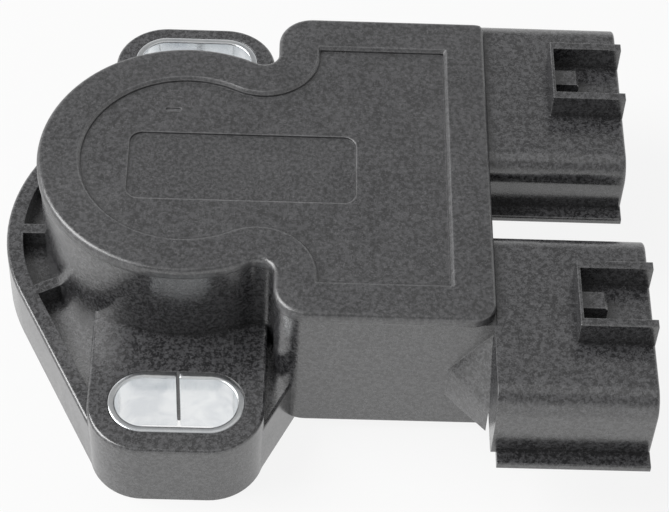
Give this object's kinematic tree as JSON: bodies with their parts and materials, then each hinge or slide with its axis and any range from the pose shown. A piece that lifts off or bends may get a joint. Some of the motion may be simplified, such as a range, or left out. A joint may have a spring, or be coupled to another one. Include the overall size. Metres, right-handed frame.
{
  "type": "throttle position sensor",
  "caption": "Flat moulded sensor with a round hub, a lidded case, a slotted flange and side-by-side plug sockets; a sprung rotor inside follows the throttle shaft.",
  "frame": {"origin": "on the rotor's axis, in the plane of the mounting face", "axes": "+Z along the rotor's axis, out through the cover; +X towards the mouths of the sockets; +Y towards the bolt slot on the position socket's side"},
  "size_m": [0.065, 0.0586, 0.021],
  "materials": {
    "housing_plastic": "glass-filled, satin, finely eroded mould surface",
    "cover_plastic": "glass-filled, satin, finely eroded mould surface",
    "seal_rubber": "smooth moulded",
    "sleeve_steel": "zinc plated, rolled sheet",
    "rotor_plastic": "natural acetal",
    "contact_alloy": "bright sprung sheet",
    "bush_bronze": "sintered, oiled",
    "spring_steel": "oil-tempered",
    "board_laminate": "lacquered glass-fibre laminate",
    "carbon_ink": "printed resistive ink",
    "silver_ink": "printed conductive ink",
    "terminal_tin": "tin plated"
  },
  "bodies": {
    "case": {"housing": "housing_plastic", "cover": "cover_plastic", "cover_seal": "seal_rubber", "front_slot_sleeve": "sleeve_steel", "rear_slot_sleeve": "sleeve_steel", "rotor_bush": "bush_bronze", "rotor_seal": "seal_rubber", "thrust_washer": "spring_steel", "return_spring": "spring_steel", "track_board": "board_laminate", "resistor_track": "carbon_ink", "collector_track": "silver_ink", "switch_common_track": "silver_ink", "idle_contact": "silver_ink", "full_throttle_contact": "silver_ink", "position_terminal_1": "terminal_tin", "position_terminal_2": "terminal_tin", "position_terminal_3": "terminal_tin", "switch_terminal_1": "terminal_tin", "switch_terminal_2": "terminal_tin", "switch_terminal_3": "terminal_tin", "mounting_seal": "seal_rubber"},
    "rotor": {"rotor": "rotor_plastic", "position_wiper": "contact_alloy", "switch_wiper": "contact_alloy", "retaining_ring": "spring_steel"}
  },
  "joints": [
    {"name": "rotor_turn", "type": "hinge", "parent": "case", "child": "rotor", "pos_m": [0, 0, 0.0057], "axis": [0, 0, 1], "range_deg": [0, 100], "stiffness_Nm_per_rad": 0.008, "springref_deg": -34.38, "deforming": ["return_spring"]}
  ]
}
